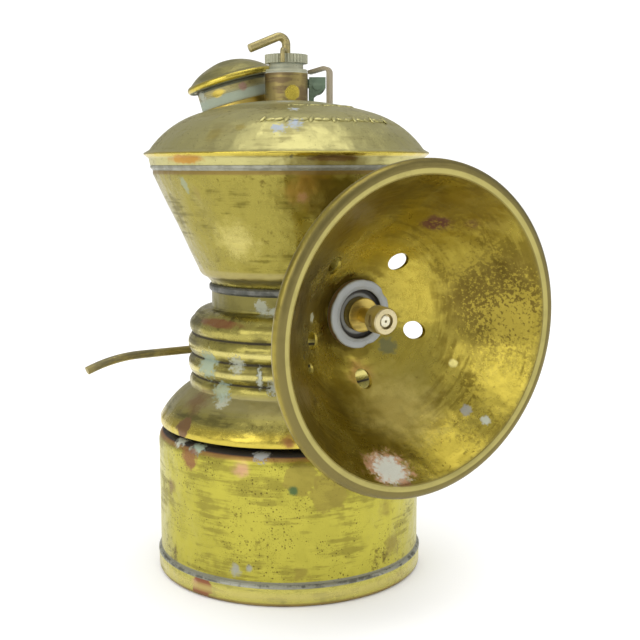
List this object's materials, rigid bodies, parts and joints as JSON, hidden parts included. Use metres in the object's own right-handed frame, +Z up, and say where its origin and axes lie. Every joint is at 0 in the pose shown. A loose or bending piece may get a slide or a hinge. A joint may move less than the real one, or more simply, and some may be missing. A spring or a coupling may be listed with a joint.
{
  "type": "carbide lamp",
  "caption": "Brass carbide cap lamp: screwed carbide chamber, ribbed collar, conical water tank with drip valve and filler lid, and a dished reflector round the burner.",
  "frame": {"origin": "centre of the face that the lamp rests on", "axes": "+Z up along the lamp's axis, the reflector faces -Y, the cap hook is on +Y"},
  "size_m": [0.068, 0.0753, 0.1026],
  "materials": {
    "chamber_brass": "bright worn brass with brown spots and a copper blush at the top",
    "collar_brass": "tarnished brass with pale deposits between the ribs",
    "tank_brass": "olive-gold tarnished brass with brown areas",
    "dome_brass": "paler khaki brass, scratched",
    "reflector_brass": "golden brass with dark olive tarnish and etched spots",
    "fitting_brass": "brown-gold turned brass",
    "filler_brass": "brass under pale verdigris",
    "lid_brass": "olive-gold brass with a worn edge",
    "green_brass": "dark green corroded brass",
    "spring_brass": "brown spring brass with green edges",
    "oxidised_nut": "grey-white oxide on brass",
    "wire": "dark olive-brown tinned wire",
    "solder": "dull grey solder",
    "hook_brass": "worn spring brass",
    "rubber": "aged black rubber",
    "felt": "grey felt",
    "yarn": "graphited yarn",
    "cork": "dark aged cork",
    "ceramic": "cream ceramic"
  },
  "bodies": {
    "chamber": {"carbide_chamber": "chamber_brass", "chamber_bottom": "chamber_brass", "bottom_seam": "solder"},
    "gasket": {"chamber_gasket": "rubber"},
    "upper": {"ribbed_collar": "collar_brass", "thread_ring": "collar_brass", "neck_solder": "solder", "felt_filter": "felt", "felt_retainer": "fitting_brass", "retainer_ring": "wire", "tank_cone": "tank_brass", "tank_floor": "tank_brass", "tank_seam": "solder", "tank_dome": "dome_brass", "water_tube": "fitting_brass", "valve_seat": "fitting_brass", "valve_housing": "fitting_brass", "stem_packing": "yarn", "packing_washer": "fitting_brass", "filler_neck": "filler_brass", "filler_flange": "filler_brass", "hinge_bracket": "green_brass", "hinge_pin": "green_brass", "lid_spring": "spring_brass", "burner_socket": "fitting_brass", "burner_pipe": "fitting_brass", "reflector_seat": "reflector_brass", "brace_wire": "wire", "brace_saddle": "solder", "cap_hook": "hook_brass"},
    "reflector": {"reflector": "reflector_brass"},
    "nut": {"reflector_nut": "oxidised_nut"},
    "tip": {"tip_base": "fitting_brass", "tip_cup": "fitting_brass", "ceramic_tip": "ceramic"},
    "lid": {"filler_lid": "lid_brass", "lid_gasket": "cork", "lid_arm": "green_brass"},
    "needle": {"valve_needle": "fitting_brass"},
    "lever": {"water_lever": "wire", "click_finger": "wire"},
    "packing": {"packing_cap": "fitting_brass"}
  },
  "joints": [
    {"name": "upper_lift", "type": "slide", "parent": "chamber", "child": "gasket", "axis": [0, 0, 1], "range_m": [0, 0.00375]},
    {"name": "upper_turn", "type": "hinge", "parent": "gasket", "child": "upper", "pos_m": [0, 0, 0.0316], "axis": [0, 0, 1], "range_deg": [0, 450]},
    {"name": "lid_hinge", "type": "hinge", "parent": "upper", "child": "lid", "pos_m": [0.00742, 0.00097, 0.093], "axis": [0.5075, 0.8616, 0], "range_deg": [0, 95]},
    {"name": "valve_lift", "type": "slide", "parent": "upper", "child": "needle", "axis": [0, 0, 1], "range_m": [0, 0.00044444]},
    {"name": "lever_turn", "type": "hinge", "parent": "needle", "child": "lever", "pos_m": [0, 0, 0.0985], "axis": [0, 0, 1], "range_deg": [0, 200]},
    {"name": "packing_cap_turn", "type": "hinge", "parent": "upper", "child": "packing", "pos_m": [0, 0, 0.0969], "axis": [0, 0, 1], "range_deg": [-45, 45]},
    {"name": "reflector_turn", "type": "hinge", "parent": "upper", "child": "reflector", "pos_m": [0, 0, 0.05336], "axis": [0, -0.9988, -0.0488], "continuous": true},
    {"name": "nut_turn", "type": "hinge", "parent": "upper", "child": "nut", "pos_m": [0, 0, 0.05336], "axis": [0, -0.9988, -0.0488], "range_deg": [0, 360]},
    {"name": "tip_pull", "type": "slide", "parent": "upper", "child": "tip", "axis": [0, -0.9988, -0.0488], "range_m": [0, 0.0065]}
  ],
  "couplings": [
    {"joint": "upper_lift", "follows": "upper_turn", "m_per_rad": 0.00047746},
    {"joint": "lever_turn", "follows": "valve_lift", "rad_per_m": 7854}
  ]
}
